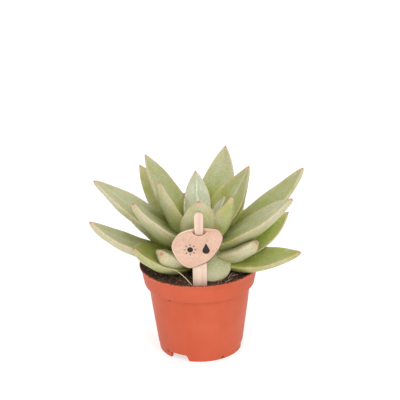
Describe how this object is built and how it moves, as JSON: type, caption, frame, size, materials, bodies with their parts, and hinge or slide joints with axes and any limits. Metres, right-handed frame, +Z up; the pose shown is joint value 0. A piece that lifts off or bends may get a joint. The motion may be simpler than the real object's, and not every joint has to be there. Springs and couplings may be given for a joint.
{
  "type": "potted miranda echeveria",
  "caption": "Rosette succulent with thick, pointed, grey-green leaves, growing in potting soil in a small tapered plastic nursery pot, with a wooden stick that holds a plain card tag.",
  "frame": {"origin": "centre of the pot's underside, on the pot's axis, at the level of the surface it stands on", "axes": "+Z up along the pot's axis, -Y towards the side that carries the label, +X to the right as seen from that side"},
  "size_m": [0.1504, 0.108, 0.1381],
  "materials": {
    "pot_plastic": "satin",
    "soil": "matte",
    "stem": "matte",
    "leaf": "satin",
    "stick_wood": "matte",
    "tag_card": "matte"
  },
  "bodies": {
    "root": {"pot": "pot_plastic", "potting_soil": "soil", "rosette_stem": "stem", "label_stick": "stick_wood", "label_tag": "tag_card", "leaf_01": "leaf", "leaf_02": "leaf", "leaf_03": "leaf", "leaf_04": "leaf", "leaf_05": "leaf", "leaf_06": "leaf", "leaf_07": "leaf", "leaf_08": "leaf", "leaf_09": "leaf", "leaf_10": "leaf", "leaf_11": "leaf", "leaf_12": "leaf", "leaf_13": "leaf", "leaf_14": "leaf", "leaf_15": "leaf", "leaf_16": "leaf", "leaf_17": "leaf", "leaf_18": "leaf", "leaf_19": "leaf", "leaf_20": "leaf", "leaf_21": "leaf", "leaf_22": "leaf", "leaf_23": "leaf", "leaf_24": "leaf", "leaf_25": "leaf", "leaf_26": "leaf", "leaf_27": "leaf", "leaf_28": "leaf", "leaf_29": "leaf", "leaf_30": "leaf", "leaf_31": "leaf", "leaf_32": "leaf", "leaf_33": "leaf"}
  },
  "joints": []
}
